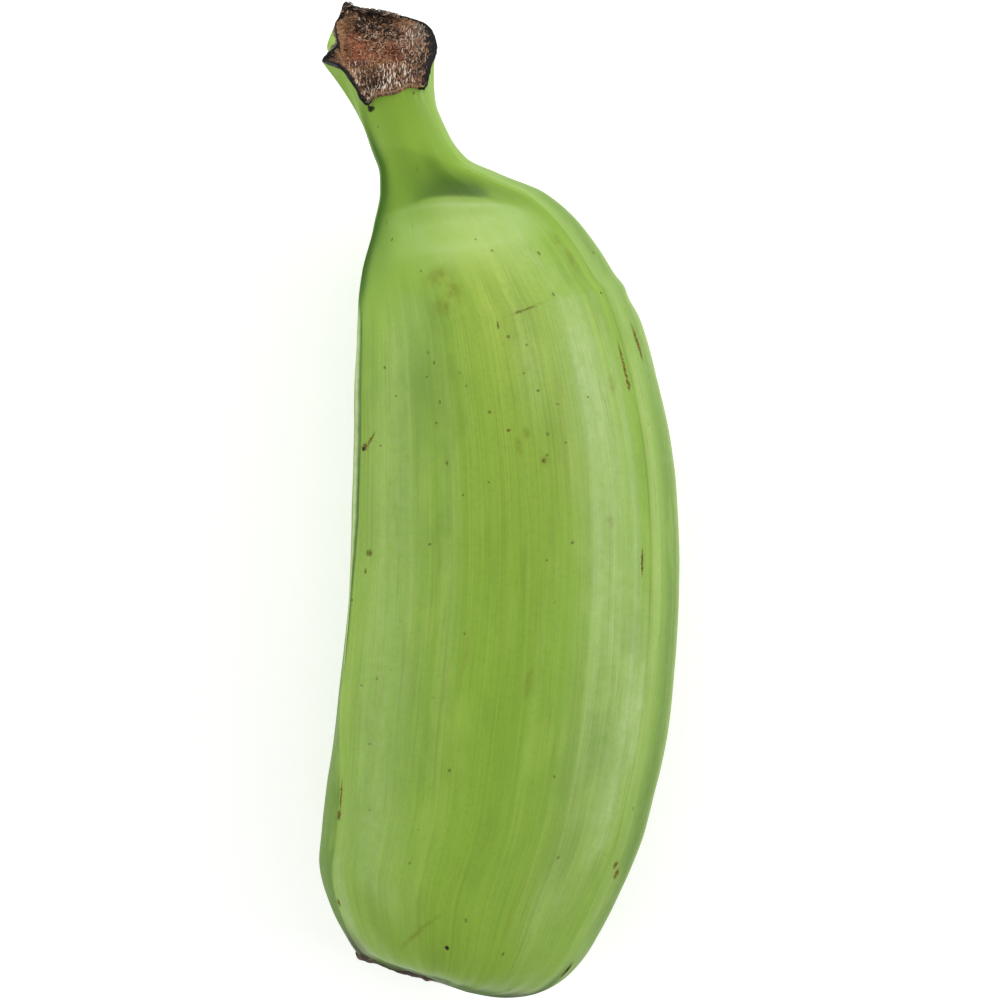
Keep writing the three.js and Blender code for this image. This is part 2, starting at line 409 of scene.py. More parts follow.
def ragged_rim():
    """The rim with the torn edge of dried peel: it wanders in and out by a few tenths."""
    lower_edge = smooth(0.05, 0.25, COLUMNS) * smooth(1.3, 1, COLUMNS)
    tear = (1 + LOWER_EDGE_TEAR * lower_edge) * lumps(SMOOTH_RIM, RIM_TEAR)
    return SMOOTH_RIM + OUTWARD * (lumps(SMOOTH_RIM, RIM_WANDER) + tear)[:, None]


def drawn_in(ring, shares):
    """Copies of a ring of points, each drawn in towards the cut's middle by its share."""
    return np.array([ring + (CUT_MIDDLE - ring) * share for share in shares])


RIM_POINTS = ragged_rim()
PLAIN_BODY = skin_point(BODY_Y, COLUMNS[None, :])
PLAIN_SKIN = np.concatenate([PLAIN_BODY, crown_points(CROWN_U, COLUMNS[None, :], RIM_POINTS)])

# How the fruit's own frame is moved into the row's, so that its box has the solid's middle.
OUTLINE = np.concatenate([PLAIN_BODY.reshape(-1, 3), SMOOTH_RIM])
SOLID_MIDDLE = np.sum(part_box("plantain"), axis=0) / 2 / MM
OWN_MIDDLE = (OUTLINE.min(axis=0) + OUTLINE.max(axis=0)) / 2
SHIFT = np.array([*(SOLID_MIDDLE - OWN_MIDDLE)[:2], MIDDLE_Z])

# The peel straightened out into a cylinder, so that its fibres run along one axis.
MIDDLE_RING = skin_point(np.array([[0.0]]), COLUMNS[None, :])[0]
RING_STEPS = side_lengths(MIDDLE_RING)
GIRTH = RING_STEPS.sum()
RING_SHARES = np.r_[0, np.cumsum(RING_STEPS)] / GIRTH


def grain_place(y, v):
    angle = 2 * pi * np.interp(v % RIDGES, np.r_[COLUMNS, RIDGES], RING_SHARES)
    radius = GIRTH / (2 * pi)
    return np.stack(np.broadcast_arrays(radius * np.cos(angle), radius * np.sin(angle), y), axis=-1)


def near(y, v, place_y, place_v, half_length, half_width):
    """1 at a place on the peel, fading to 0 over the given half sizes (mm, and shares of a face)."""
    round_ = (v - place_v + RIDGES / 2) % RIDGES - RIDGES / 2
    return bell((y - place_y) / half_length, round_ / half_width)


def way_to_rim(points):
    """How far points are from the nearest point of the rim, in mm."""
    return norm(points[..., None, :] - SMOOTH_RIM, axis=-1).min(axis=-1)


# ---- peel
# How black the peel's torn edge is, by place round the section; it is brown where it is 0.
rim_blackness = profile([
    (0, 1), (0.1, 0.3), (0.2, 0), (0.95, 0), (1.2, 0.5), (1.5, 1), (4.1, 1), (4.3, 0.5),
    (4.6, 1), (5, 1),
])

# Layers of lumps on the skin, as (height and size in mm, seed), and those that run along the
# fibres, as (spine place where they begin, where they are full, height, size each way, seed).
SKIN_LUMPS = ((0.22, 17, 3.1), (0.08, 6, 7.7))
FIBRE_LUMPS = (
    (54, 40, 0.04, (3.2, 3.2, 60), 1.3),
    (-84, -95, 0.35, (5, 5, 8), 4.4),
    (NECK_Y + 2, NECK_Y + CROWN_LENGTH, 0.3, (3, 3, 5), 2.2),
)


def peel_relief(points, y, v):
    """How far the skin stands off the smooth form, in mm: lumps, wrinkles and swellings."""
    relief = lumps(points, *SKIN_LUMPS)
    for begin, full, *layer in FIBRE_LUMPS:
        relief += smooth(begin, full, y) * lumps(grain_place(y, v), layer)
    return relief + sum(height * near(y, v, *place) for height, *place in SWELLINGS)


# The fine lines beside the upper outer ridge, as (tint, share, place off the ridge, half width): a dark
# line on the ridge, painted shade, and a pale line beside it, a painted reflection.
RIDGE_LINES = (("deep_green_and_shade", 1.5, 0, 0.005), ("bloom_and_sheen", 0.9, -0.014, 0.01))
# How strong the painted highlight on the shoulder just under the crease is, and how far down it fades,
# in mm.
HIGHLIGHT_BELOW_CREASE = 0.1
HIGHLIGHT_LENGTH = 5.0


def peel_tints(points, y, v):
    """How far each tint covers the skin: pale wax with painted sheen, deeper green with painted shade,
    yellowing and browning.
    """
    tints = {
        name: sum(share * near(y, v, *place) for share, *place in places)
        for name, places in TINTS.items()
    }
    # Painted shade on the steep inner face.
    off_ridge = (v + 1) % RIDGES - 1 - ridge_line(y)
    on_inner = smooth(0.004, -0.01, off_ridge) * smooth(-1, -0.8, off_ridge)
    tints["deep_green_and_shade"] = np.maximum(tints["deep_green_and_shade"], on_inner * inner_shade(y))
    # The stretch of the body where these painted lines lie.
    marked = smooth(-42, -28, y) * smooth(50, 40, y)
    for name, share, place, half_width in RIDGE_LINES:
        tints[name] += share * marked * bell((off_ridge - place) / half_width)
    # Painted shade in the crease where the shoulder meets the neck, and a painted highlight on the
    # shoulder just below it.
    x = points[..., 0]
    above = points[..., 1] - shoulder_edge(x)
    shown = smooth(1, 0.94, v) * smooth(0, 0.1, v) * crease_strength(x)
    dark = smooth(-0.3, 0.8, above) * bell(np.maximum(above, 0) / crease_height(x))
    shoulder_highlight = smooth(0.4, -0.4, above) * bell(np.minimum(above, 0) / HIGHLIGHT_LENGTH)
    tints["deep_green_and_shade"] += shown * dark
    tints["bloom_and_sheen"] += HIGHLIGHT_BELOW_CREASE * shown * shoulder_highlight
    return tints


# How much the inner face is darkened to a deeper green, as painted shade, and how far from the ridge its
# edge runs.
inner_shade = profile([
    (-97, 0.8), (-80, 0.66), (-62, 0.62), (-40, 0.6), (-20, 0.4), (20, 0.4), (36, 0.35), (58, 0.35),
    (66, 0.75), (72, 0.65), (78, 0.3), (85, 0.15),
])
ridge_line = profile([
    (-97, -0.02), (-86, 0.004), (-74, 0.02), (-62, 0.014), (-45, -0.004), (-20, 0.002), (2, 0.016),
    (25, 0.02), (44, 0.015), (56, 0), (76, 0),
])
# The line where the flank's shoulder meets the neck, as y for each x, with how dark the painted shade in
# the crease over it is and how far up the neck it fades, all in the fruit's own frame.
shoulder_edge = profile([
    (-22, 56.8), (-17.4, 58.6), (-14.2, 59.9), (-9.9, 60.3), (-4.7, 60), (-1, 59.2), (3, 57.4),
])
crease_strength = profile([
    (-24, 0.05), (-19, 0.1), (-16, 0.4), (-13, 0.8), (-10, 1.2), (-6, 1.25), (-3.5, 0.8),
    (-1.5, 0.3), (0.5, 0),
])
crease_height = profile([(-24, 12), (-17, 8), (-14, 6), (-9, 3.6), (-4, 2.6), (0, 1.6), (4, 1.2)])


# Swellings and hollows of the skin, as (height in mm, spine place, place round, half length,
# half width): the neck's crease, the corner at the blossom end, and where the outline swells.
SWELLINGS = (
    (-0.9, 60.8, 0.78, 2.2, 0.16), (-0.5, 58, 0.87, 1.8, 0.08), (-0.4, 64, 0.5, 2.6, 0.3),
    (0.9, -94.6, 4.83, 2.8, 0.12), (-1.5, -96.2, 0.22, 1.7, 0.5), (0.3, 42, 4.97, 7, 0.16),
    (0.6, -65, 4.76, 12, 0.35), (-0.6, 34.5, 2, 2.6, 0.6), (0.2, 61, 1.7, 6, 0.7),
    (-0.3, -35, 2, 45, 0.9), (-0.25, -64, 2, 9, 0.7), (0.4, 79, 4.88, 4, 0.15),
)

# Each tint is a list of (share, spine place, place round, half length, half width).
# Pale wax bloom, partly a painted sheen of the lamps along the ridges and flanks and on the shoulder.
BLOOM_AND_SHEEN = (
    (0.12, -10, 0.34, 50, 0.03), (0.24, -60, 0.94, 14, 0.05), (0.4, -38, 1, 16, 0.06),
    (0.16, -77, 0.84, 10, 0.07), (0.3, -86, 0.03, 9, 0.03), (0.12, -10, 0.87, 50, 0.06),
    (0.18, 55, 0.6, 5, 0.3), (0.22, 22, 0.87, 16, 0.05), (0.2, 0, 1.16, 55, 0.09),
    (0.2, -5, 0.825, 55, 0.014), (0.2, -5, 0.955, 55, 0.014), (0.12, -74, 0.04, 16, 0.02),
    (0.18, 45, 0.77, 7, 0.1), (0.2, 27, 0.66, 12, 0.05),
)
# Deeper green skin together with painted shade: along the far edges, on the inner face by the neck,
# along ridges and at the blossom end.
DEEP_GREEN_AND_SHADE = (
    (0.25, 66, 0.72, 5, 0.12), (0.28, 64, 0.3, 13, 0.3), (1.1, 67, 4.98, 12, 0.1),
    (0.9, 53, 5, 7, 0.035), (0.25, 55, 0.12, 9, 0.1), (0.2, -48, 0.9, 10, 0.06),
    (0.25, -67, 0.84, 9, 0.07), (0.7, 52, 4.84, 9, 0.05), (0.5, -20, 1.6, 72, 0.36),
    (0.3, 50, 1.5, 14, 0.5), (0.5, -30, 3, 80, 0.8), (0.5, 0, 1.03, 62, 0.02),
    (0.25, -5, 0.795, 50, 0.016), (0.45, -95.6, 0.4, 1.6, 4), (0.8, -93.6, 1.38, 2.6, 0.13),
    (0.3, -70, 1.45, 26, 0.5), (0.5, -91, 1.25, 4, 0.12), (0.35, 26, 0.26, 9, 0.1),
    (0.3, 40, 0.36, 6, 0.08), (0.25, -40, 0.86, 16, 0.05), (0.7, -96.2, 1, 1.2, 1),
)
YELLOWING = (
    (0.25, 8, 0.75, 14, 0.035), (0.4, 40, 0.62, 14, 0.16), (0.2, -10, 1.1, 55, 0.05),
    (0.2, 20, 0.6, 30, 0.2),
)
BROWNED = (
    (0.85, -92.6, 4.94, 3, 0.09), (0.7, -96.7, 0.1, 0.45, 0.5), (0.6, -96.7, 1, 0.45, 0.4),
    (0.8, -94.6, 1.1, 1, 0.16), (0.9, -94.4, 1.42, 1.6, 0.13),
)
TINTS = {"bloom_and_sheen": BLOOM_AND_SHEEN, "deep_green_and_shade": DEEP_GREEN_AND_SHADE, "yellowing": YELLOWING, "browned": BROWNED}


# How far below the rim the skin's relief fades out, and how the peel closes under the cut.
HELD_BY_RIM = 3.0
PEEL_CAP_RINGS = (0.03, 0.1, 0.3, 0.6)


def make_peel():
    places_v = np.broadcast_to(COLUMNS[None, :], PLAIN_SKIN.shape[:2])
    places_y = np.broadcast_to(SPINE_PLACES, PLAIN_SKIN.shape[:2])
    held = smooth(0, HELD_BY_RIM, norm(PLAIN_SKIN - PLAIN_SKIN[-1], axis=-1))
    relief = peel_relief(PLAIN_SKIN, places_y, places_v) * held
    skin = PLAIN_SKIN + grid_normals(PLAIN_SKIN) * relief[..., None]
    rim = skin[-1]
    cap = drawn_in(rim, PEEL_CAP_RINGS)
    depth = np.minimum(PEEL_CAP_DEPTH, CAP_STEEPNESS * way_to_rim(cap))
    cap -= CUT_FACING * depth[..., None]
    blossom_pole = np.array([spine_x(BLOSSOM_Y), BLOSSOM_Y, spine_z(BLOSSOM_Y)])
    cut_pole = CUT_MIDDLE - CUT_FACING * PEEL_CAP_DEPTH
    grid = np.concatenate([skin, cap])
    piece = loft("peel", on_table(grid), on_table(blossom_pole), on_table(cut_pole))
    grid_map(piece, grid)
    numbers = {
        "grain": grain_place(places_y, places_v),
        **peel_tints(PLAIN_SKIN, places_y, places_v),
        "rimward": norm(skin - rim, axis=-1),
        "rim_black": rim_blackness(places_v),
    }
    for name, values in numbers.items():
        under_cut = np.repeat(values[-1:], len(cap), axis=0)
        add_grid_numbers(piece, name, np.concatenate([values, under_cut]))
    return piece


# ---- cut end
def on_cut(a, b, height=0):
    """A point of the cut's plane, a mm across and b mm up from its middle, raised by height."""
    return CUT_MIDDLE + a * CUT_ACROSS + b * CUT_UP + height * CUT_FACING


def on_cut_plane(points):
    """The places across and up in the cut's plane of points in space."""
    away = points - CUT_MIDDLE
    return away @ CUT_ACROSS, away @ CUT_UP


# How far in from the rim the cut is dried black, in mm, by place round the section.
charred_width = profile([
    (0, 0.9), (0.12, 0.3), (0.25, 0.1), (0.85, 0.1), (1, 1.2), (1.3, 2), (2, 2.8), (2.5, 1),
    (2.8, 0.3), (3.2, 0.5), (3.5, 1.6), (3.9, 1.8), (4.05, 1.2), (4.25, 0.3), (4.5, 0.4), (4.64, 1.6),
    (4.72, 1.5), (4.8, 0.9), (5, 0.9),
])


def humps(a, b, places):
    """The sum of humps and hollows, as (height, a, b, half width, half height)."""
    return sum(
        height * bell((a - place_a) / half_width, (b - place_b) / half_height)
        for height, place_a, place_b, half_width, half_height in places
    )


# The cut's relief in mm: layers of lumps as (height, size, seed), and humps.
CUT_LUMPS = ((0.3, 3, 1), (0.16, (0.45, 1.6, 1), 2), (0.12, 0.7, 3))
CUT_HUMPS = ((-0.7, -1.6, -8.6, 1.6, 1.5), (-0.2, -3.2, 7, 3.6, 2.6), (0.5, -5.5, 1, 3, 4.5))
# Where the fibres stand out of the cut as straight strokes, and where as tight curls, as
# (share, a, b, half width, half height).
STROKED = ((1.1, -0.6, -8.4, 8, 4.4), (1.1, 6.6, 3.4, 3.2, 5.6))
CURLED = ((1.1, -2.4, 7.6, 5, 4.6), (1.1, 0.6, 2.2, 3.6, 2.8))
# The cut's rings behind its plane, the skirt that laps over the rim, and how it thins there.
CUT_BACK_RINGS = (0.9, 0.5, 0.12)
BACK_STEEPNESS = 0.9 * CAP_STEEPNESS
SKIRT_DEPTH = 0.5
EDGE_OVERLAP = 0.7 * CUT_OVERLAP
EDGE_RISE = 0.12


def make_cut_face():
    share = np.linspace(0, 1, CUT_RINGS + 1)[1:, None]
    flat = RIM_POINTS * (1 - share[..., None]) + CUT_MIDDLE * share[..., None]
    a, b = on_cut_plane(flat)
    relief = lumps(np.stack([a, b, 0 * a], axis=-1), *CUT_LUMPS) + humps(a, b, CUT_HUMPS)
    faded = smooth(0, 0.1, share) * smooth(1, 0.9, share)
    height = relief * faded - CUT_DISH * cut_depth(share)
    top = flat + CUT_FACING * np.maximum(height, -TOP_STEEPNESS * way_to_rim(flat))[..., None]
    skirt = RIM_POINTS + OUTWARD * CUT_OVERLAP - CUT_FACING * SKIRT_DEPTH
    edge = RIM_POINTS + OUTWARD * EDGE_OVERLAP + CUT_FACING * EDGE_RISE
    back = drawn_in(RIM_POINTS, CUT_BACK_RINGS)
    back -= CUT_FACING * np.minimum(CUT_BACK, BACK_STEEPNESS * way_to_rim(back))[..., None]
    grid = np.concatenate([back, skirt[None], edge[None], top[:-1]])
    back_pole = on_table(CUT_MIDDLE - CUT_FACING * CUT_BACK)
    piece = loft("cut_face", on_table(grid), back_pole, on_table(top[-1, 0]))
    a, b = on_cut_plane(grid)
    from_rim = norm(grid - RIM_POINTS, axis=-1)
    from_rim[:len(back) + 2] = BROWN_EDGE * (1 - rim_blackness(COLUMNS))
    add_grid_numbers(piece, "cut_place", np.stack([a, b, 0 * a], axis=-1))
    add_grid_numbers(piece, "charring", from_rim / charred_width(COLUMNS))
    for name, places in (("stroked", STROKED), ("curled", CURLED)):
        add_grid_numbers(piece, name, np.clip(humps(a, b, places), 0, 1))
    return piece


class Strands:
    """Thin tapered strands gathered into one mesh, each a closed tube with a tone from 0 to 1."""

    SIDES = 4
    TAPER = 0.8

    def __init__(self):
        self.points, self.faces, self.tones = [], [], []

    def add(self, path, radius, tone):
        first, count, sides = len(self.points), len(path), self.SIDES
        last = first + (count - 1) * sides
        for i, place in enumerate(path):
            ahead = (path[min(i + 1, count - 1)] - path[max(i - 1, 0)]).normalized()
            side = ahead.orthogonal().normalized()
            share = i / (count - 1)
            thick = radius * (1 - self.TAPER * share ** 2) * min(1, 0.5 + 3 * share)
            for k in range(sides):
                turn = Matrix.Rotation(2 * pi * k / sides, 3, ahead)
                self.points.append(place + turn @ side * thick)
        for ring in range(first, last, sides):
            for k in range(sides):
                a, b = ring + k, ring + (k + 1) % sides
                self.faces.append((a, b, b + sides, a + sides))
        self.faces.append(tuple(reversed(range(first, first + sides))))
        self.faces.append(tuple(range(last, last + sides)))
        self.tones += [tone] * (count * sides)

    def piece(self, name):
        made = mesh_piece(name, [p * MM for p in self.points], self.faces)
        add_numbers(made, "tone", self.tones)
        return made


# Fields of fibres on the cut, as (count, a, b, half width, half height, shortest, longest,
# heading in degrees from across, its spread, lift in degrees, darkest tone, lightest tone).
FIBRE_FIELDS = (
    (230, -0.6, -8.4, 6.8, 4.4, 0.9, 1.8, 92, 4, 12, 0.45, 1),
    (70, 1.5, -3.6, 5.6, 2.4, 0.6, 1.3, 92, 24, 16, 0.35, 0.75),
    (120, 5.6, 4, 2.8, 5.4, 0.8, 1.7, 80, 5, 10, 0.35, 0.9),
    (60, 6.6, -4.6, 2.4, 5.4, 0.8, 1.6, 88, 9, 10, 0.15, 0.7),
    (60, -7.6, 1, 1.8, 8, 0.4, 1, 90, 30, 14, 0.2, 0.6),
    (60, -5, -9.5, 1.4, 4, 0.8, 1.6, 104, 12, 12, 0.4, 0.85),
)
# Curled fibres, as (count, a, b, spread across, spread up, smallest, largest, darkest, lightest).
CURLS = (
    (170, -2.4, 8.2, 2.8, 2.6, 0.3, 0.6, 0, 0.16),
    (130, -1.6, 5.8, 2.2, 2.8, 0.35, 0.65, 0.45, 0.75),
    (110, 0.2, 1.4, 3, 1.8, 0.3, 0.6, 0.35, 0.75),
    (60, -7, 1, 1.6, 5, 0.25, 0.45, 0.1, 0.65),
)
# The fringe of fibres along the far edge of the cut: how many, where round the rim, how far in
# and up, how wide and how far they curl, and the tones of the few pale ones and of the rest.
FRINGE = 150
FRINGE_PLACES = (3.2, 4.1)
FRINGE_INSET = (0.2, 1.1)
FRINGE_CURL = (0.25, 0.6)
FRINGE_LIFT = 0.2
FRINGE_SWEEP = 4.2
FRINGE_PALE_SHARE = 0.22
FRINGE_PALE = 0.65
FRINGE_DARK = 0.06
# Radii of the straight and of the curled fibres, in mm, how far the curled ones turn, tilt and
# stand off the cut, and how deep the straight ones are rooted.
STROKE_RADII = (0.09, 0.16)
CURL_RADII = (0.09, 0.15)
CURL_SWEEP = (200, 330)
CURL_TILT = 0.4
CURL_LIFT = 0.12
FIBRE_ROOT = 0.08
PROBE_HEIGHT = 4.0
ACROSS, UP, FACING = (Vector(axis) for axis in (CUT_ACROSS, CUT_UP, CUT_FACING))


def inside_cut(a, b, share=0.95):
    """Whether a place in the cut's plane is within the rim, drawn in to a share of its size."""
    rim_a, rim_b = on_cut_plane(CUT_MIDDLE + (RIM_POINTS - CUT_MIDDLE) * share)
    next_a, next_b = np.roll(rim_a, -1), np.roll(rim_b, -1)
    crosses = (rim_b > b) != (next_b > b)
    span = np.where(crosses, next_b - rim_b, 1)
    return np.count_nonzero(crosses & (a < rim_a + (b - rim_b) * (next_a - rim_a) / span)) % 2 == 1


def stroke(base, turn, bend, rise, length, points=5):
    """The path of a nearly straight fibre that lifts off the cut and bends over."""
    path = []
    for i in range(points):
        t = i / (points - 1)
        along = ACROSS * cos(turn + bend * t) + UP * sin(turn + bend * t)
        lifted = FACING * sin(rise) * (1 - 0.5 * t)
        path.append(base + (along * cos(rise) + lifted) * length * t)
    return path


def curl(centre, axes, radius, start, sweep, closing, climb, points):
    """The path of a fibre that turns round a centre, drawing in and climbing as it goes."""
    path = []
    for i in range(points):
        t = i / (points - 1)
        turn = start + sweep * t
        arm = axes[0] * cos(turn) + axes[1] * sin(turn)
        path.append(centre + arm * radius * (1 - closing * t) + FACING * climb * t)
    return path


def make_cut_fibres(cut_face):
    chance = random.Random(11)
    strands = Strands()

    def foot(a, b):
        start = Vector(on_table(on_cut(a, b, PROBE_HEIGHT))) * MM
        found, place, _, _ = cut_face.ray_cast(start, -FACING)
        return place / MM if found else Vector(on_table(on_cut(a, b)))

    for count, a0, b0, wide, tall, short, long, heading, spread, lift, dark, light in FIBRE_FIELDS:
        for _ in range(count):
            a = a0 + wide * chance.uniform(-1, 1)
            b = b0 + tall * chance.uniform(-1, 1)
            turn = radians(heading + chance.gauss(0, spread * 0.6))
            rise = radians(lift * chance.uniform(0.3, 1.5))
            bend = chance.gauss(0, 0.15)
            length = chance.uniform(short, long)
            tone = chance.uniform(dark, light)
            if inside_cut(a, b):
                path = stroke(foot(a, b) - FACING * FIBRE_ROOT, turn, bend, rise, length)
                strands.add(path, chance.uniform(*STROKE_RADII), tone)

    for count, a0, b0, wide, tall, small, large, dark, light in CURLS:
        for _ in range(count):
            a, b = chance.gauss(a0, wide), chance.gauss(b0, tall)
            radius = chance.uniform(small, large)
            sweep = radians(chance.uniform(*CURL_SWEEP))
            start = chance.uniform(0, 2 * pi)
            tilt = Matrix.Rotation(chance.gauss(0, CURL_TILT), 3, ACROSS)
            tilt = tilt @ Matrix.Rotation(chance.gauss(0, CURL_TILT), 3, UP)
            tone = chance.uniform(dark, light)
            if inside_cut(a, b):
                centre = foot(a, b) + FACING * CURL_LIFT
                axes = (tilt @ ACROSS, tilt @ UP)
                path = curl(centre, axes, radius, start, sweep, closing=0.35, climb=0.2, points=9)
                strands.add(path, chance.uniform(*CURL_RADII), tone)

    for _ in range(FRINGE):
        v = chance.uniform(*FRINGE_PLACES)
        rim = Vector(on_table(rim_point(np.array([v]))[0]))
        inward = (Vector(on_table(CUT_MIDDLE)) - rim).normalized()
        radius = chance.uniform(*FRINGE_CURL)
        start = chance.uniform(0, 2 * pi)
        centre = rim + inward * chance.uniform(*FRINGE_INSET) + FACING * FRINGE_LIFT
        axes = (inward, FACING.cross(inward))
        path = curl(centre, axes, radius, start, FRINGE_SWEEP, closing=0, climb=0.3, points=8)
        thick = chance.uniform(*CURL_RADII)
        tone = FRINGE_PALE if chance.random() < FRINGE_PALE_SHARE else FRINGE_DARK
        strands.add(path, thick, tone)
    return strands.piece("cut_fibres")


# ---- blossom end
# The crust's outline round its middle, as mm across and up, from the side nearest the stem's
# outer curve. The camera looks along its plane and sees only its upper edge.
CRUST_OUTLINE = (
    (6.8, 0), (6, 3.2), (4.2, 3.6), (2.2, 1.4), (-1.5, 1), (-5, 1.6), (-7.4, 4.2), (-9.6, 5),
    (-10.6, 0.4), (-6, -4.5), (-1, -7), (4.5, -4.5),
)
# Lumps on the crust, as (where, in the fruit's own frame, radius, height).
CRUST_LUMPS = (
    ((-27.8, -90.6, 3), 1.5, 1.2), ((-26.2, -92.2, 3.4), 0.8, 0.5), ((-14.6, -95.4, 3), 1.3, 0.7),
)
# Layers of lumps on the crust's outline and on its face, as (height, size, seed).
CRUST_EDGE_LUMPS = ((0.08, 3, 6), (0.06, 0.8, 2))
CRUST_FACE_LUMPS = ((0.1, 1.3, 2), (0.06, 0.5, 8))
# The crust's rows, the way it faces, how far its back and its edge sink into the peel, and how
# far out points start that are moved onto the peel, in mm.
CRUST_RINGS = 30
CRUST_COLUMNS = 90
CRUST_INWARDS = unit(np.array([0.3, 0.95, 0.0]))
CRUST_ROOT = -1.0
CRUST_EDGE_SINK = 0.25
DROP_START = 15.0


def make_blossom_remains(peel):
    """The dry crust where the flower fell off, wrapped over the blunt end, with its hard nub."""
    middle = np.array(CRUST_MIDDLE, float)
    sideways = unit(np.cross(CRUST_INWARDS, (0, 0, 1)))
    upward = np.cross(sideways, CRUST_INWARDS)
    outline = np.array(CRUST_OUTLINE + CRUST_OUTLINE[:1], float)
    turns = np.arange(CRUST_COLUMNS) / CRUST_COLUMNS * len(CRUST_OUTLINE)
    across, up = (np.interp(turns, np.arange(len(outline)), side) for side in outline.T)
    reach = 1 + lumps(np.stack([across, up, 0 * up], axis=-1), *CRUST_EDGE_LUMPS)
    arms = across[:, None] * sideways + up[:, None] * upward
    t = ((np.arange(CRUST_RINGS) + 1) / CRUST_RINGS)[:, None]
    flat = middle + arms * (t * reach)[..., None]

    def dropped(points, heights):
        """The points moved straight onto the peel, then off it by their heights."""
        heights = np.broadcast_to(heights, points.shape[:-1])
        made = []
        for point, off in zip(points.reshape(-1, 3), heights.ravel()):
            start = Vector(on_table(point - CRUST_INWARDS * DROP_START)) * MM
            found, spot, normal, _ = peel.ray_cast(start, Vector(CRUST_INWARDS))
            spot = np.array(spot) / MM if found else on_table(point)
            made.append(spot + np.array(normal) * off)
        return np.array(made).reshape(points.shape)

    resting = dropped(flat, 0)
    height = (CRUST_THICKNESS + lumps(resting, *CRUST_FACE_LUMPS)) * smooth(1, 0.9, t)
    height = height - CRUST_EDGE_SINK * smooth(0.9, 1, t)
    for place, radius, rise in CRUST_LUMPS:
        away = norm(resting - on_table(np.array(place, float)), axis=-1)
        height = height + rise * bell(away / radius)
    rings = np.concatenate([dropped(flat, height), dropped(flat[::-5], CRUST_ROOT)])[::-1]
    back = dropped(middle[None], CRUST_ROOT)[0]
    return loft("blossom_remains", rings, back, dropped(middle[None], CRUST_THICKNESS)[0])


# ---- materials
class Nodes:
    """Short ways to add and join shader nodes in one material, and its colour so far.

    A colour is a socket or its red, green and blue in sRGB, 0 to 255.
    """

    def __init__(self, name):
        self.material = bpy.data.materials.new(name)
        self.material.use_nodes = True
        self.tree = self.material.node_tree
        self.tree.nodes.clear()
        self.colour = None

    def add(self, kind, inputs=None, **settings):
        node = self.tree.nodes.new("ShaderNode" + kind)
        for key, value in settings.items():
            setattr(node, key, value)
        for key, value in (inputs or {}).items():
            self.put(node.inputs[key], value)
        return node

    def put(self, socket, value):
        """Links a socket or sets a value; None leaves the shader's own."""
        if isinstance(value, bpy.types.NodeSocket):
            self.tree.links.new(value, socket)
        elif value is not None:
            socket.default_value = value

    def attribute(self, name, output="Fac"):
        return self.add("Attribute", attribute_name=name).outputs[output]

    def vector(self, operation, a, b=None):
        return self.add("VectorMath", {0: a, 1: b}, operation=operation).outputs

    def scaled(self, vector, scale):
        return self.vector("MULTIPLY", vector, scale)[0]

    def noise(self, vector, scale=1.0, detail=2.0, roughness=0.5, output="Fac"):
        inputs = {"Vector": vector, "Scale": scale, "Detail": detail, "Roughness": roughness}
        return self.add("TexNoise", inputs).outputs[output]

    def wobbled(self, vector, scale, amount):
        """The same places moved about by up to half of an amount, so that edges turn ragged."""
        shake = self.noise(vector, scale, 3, output="Color")
        centred = self.vector("SUBTRACT", shake, (0.5, 0.5, 0.5))[0]
        return self.vector("ADD", vector, self.scaled(centred, (amount,) * 3))[0]

    def cells(self, vector, scale):
        return self.add("TexVoronoi", {"Vector": vector, "Scale": scale}).outputs

    def math(self, operation, a, b=0.0, clamp=False):
        node = self.add("Math", {0: a, 1: b}, operation=operation, use_clamp=clamp)
        return node.outputs[0]

    def times(self, *factors):
        product = factors[0]
        for factor in factors[1:]:
            product = self.math("MULTIPLY", product, factor)
        return product

    def off(self, value, middle):
        return self.math("ABSOLUTE", self.math("SUBTRACT", value, middle))

    def spread(self, value, low, high, to_low=0.0, to_high=1.0):
        """A value eased from one range to another, held beyond its ends."""
        inputs = {"Value": value, "From Min": low, "From Max": high, "To Min": to_low, "To Max": to_high}
        return self.add("MapRange", inputs, interpolation_type="SMOOTHSTEP").outputs[0]

    def mix(self, share, *colours):
        """From the first colour to the second, by a share from 0 to 1."""
        node = self.add("Mix", data_type="RGBA")
        self.put(node.inputs["Factor"], share)
        sockets = [s for s in node.inputs if s.type == "RGBA"]
        for socket, colour in zip(sockets, colours):
            self.put(socket, srgb(*colour) if isinstance(colour, tuple) else colour)
        return next(s for s in node.outputs if s.type == "RGBA")

    def paint(self, colour, *shares):
        """Covers the colour so far with another, by the product of the shares."""
        self.colour = self.mix(self.times(*shares), self.colour, colour)

    def spot(self, vector, place, size, turn=(0, 0, 0), solid=0.6):
        """1 inside an ellipse of the given half sizes, fading to 0 at its edge."""
        inputs = {"Vector": vector, "Location": place, "Rotation": turn, "Scale": size}
        local = self.add("Mapping", inputs, vector_type="TEXTURE").outputs[0]
        return self.spread(self.vector("LENGTH", local)["Value"], 1, solid)

    def bump(self, height, distance, normal=None):
        inputs = {"Height": height, "Distance": distance, "Strength": 1, "Normal": normal}
        return self.add("Bump", inputs).outputs[0]

    def finish(self, shader):
        output = self.add("OutputMaterial")
        self.tree.links.new(shader.outputs[0], output.inputs["Surface"])
        return self.material

    def coated(self, roughness, gloss, normal=None, refraction=None):
        """The finished material: the colour so far, as rough and as glossy as given."""
        return self.finish(self.add("BsdfPrincipled", {
            "Base Color": self.colour,
            "Roughness": roughness,
            "IOR": refraction,
            "Specular IOR Level": gloss,
            "Normal": normal,
        }))


def srgb(r, g, b):
    """A colour given as 0-255 sRGB, as the linear colour that shaders take."""
    def linear(c):
        c /= 255
        return c / 12.92 if c <= 0.04045 else ((c + 0.055) / 1.055) ** 2.4
    return (linear(r), linear(g), linear(b), 1)


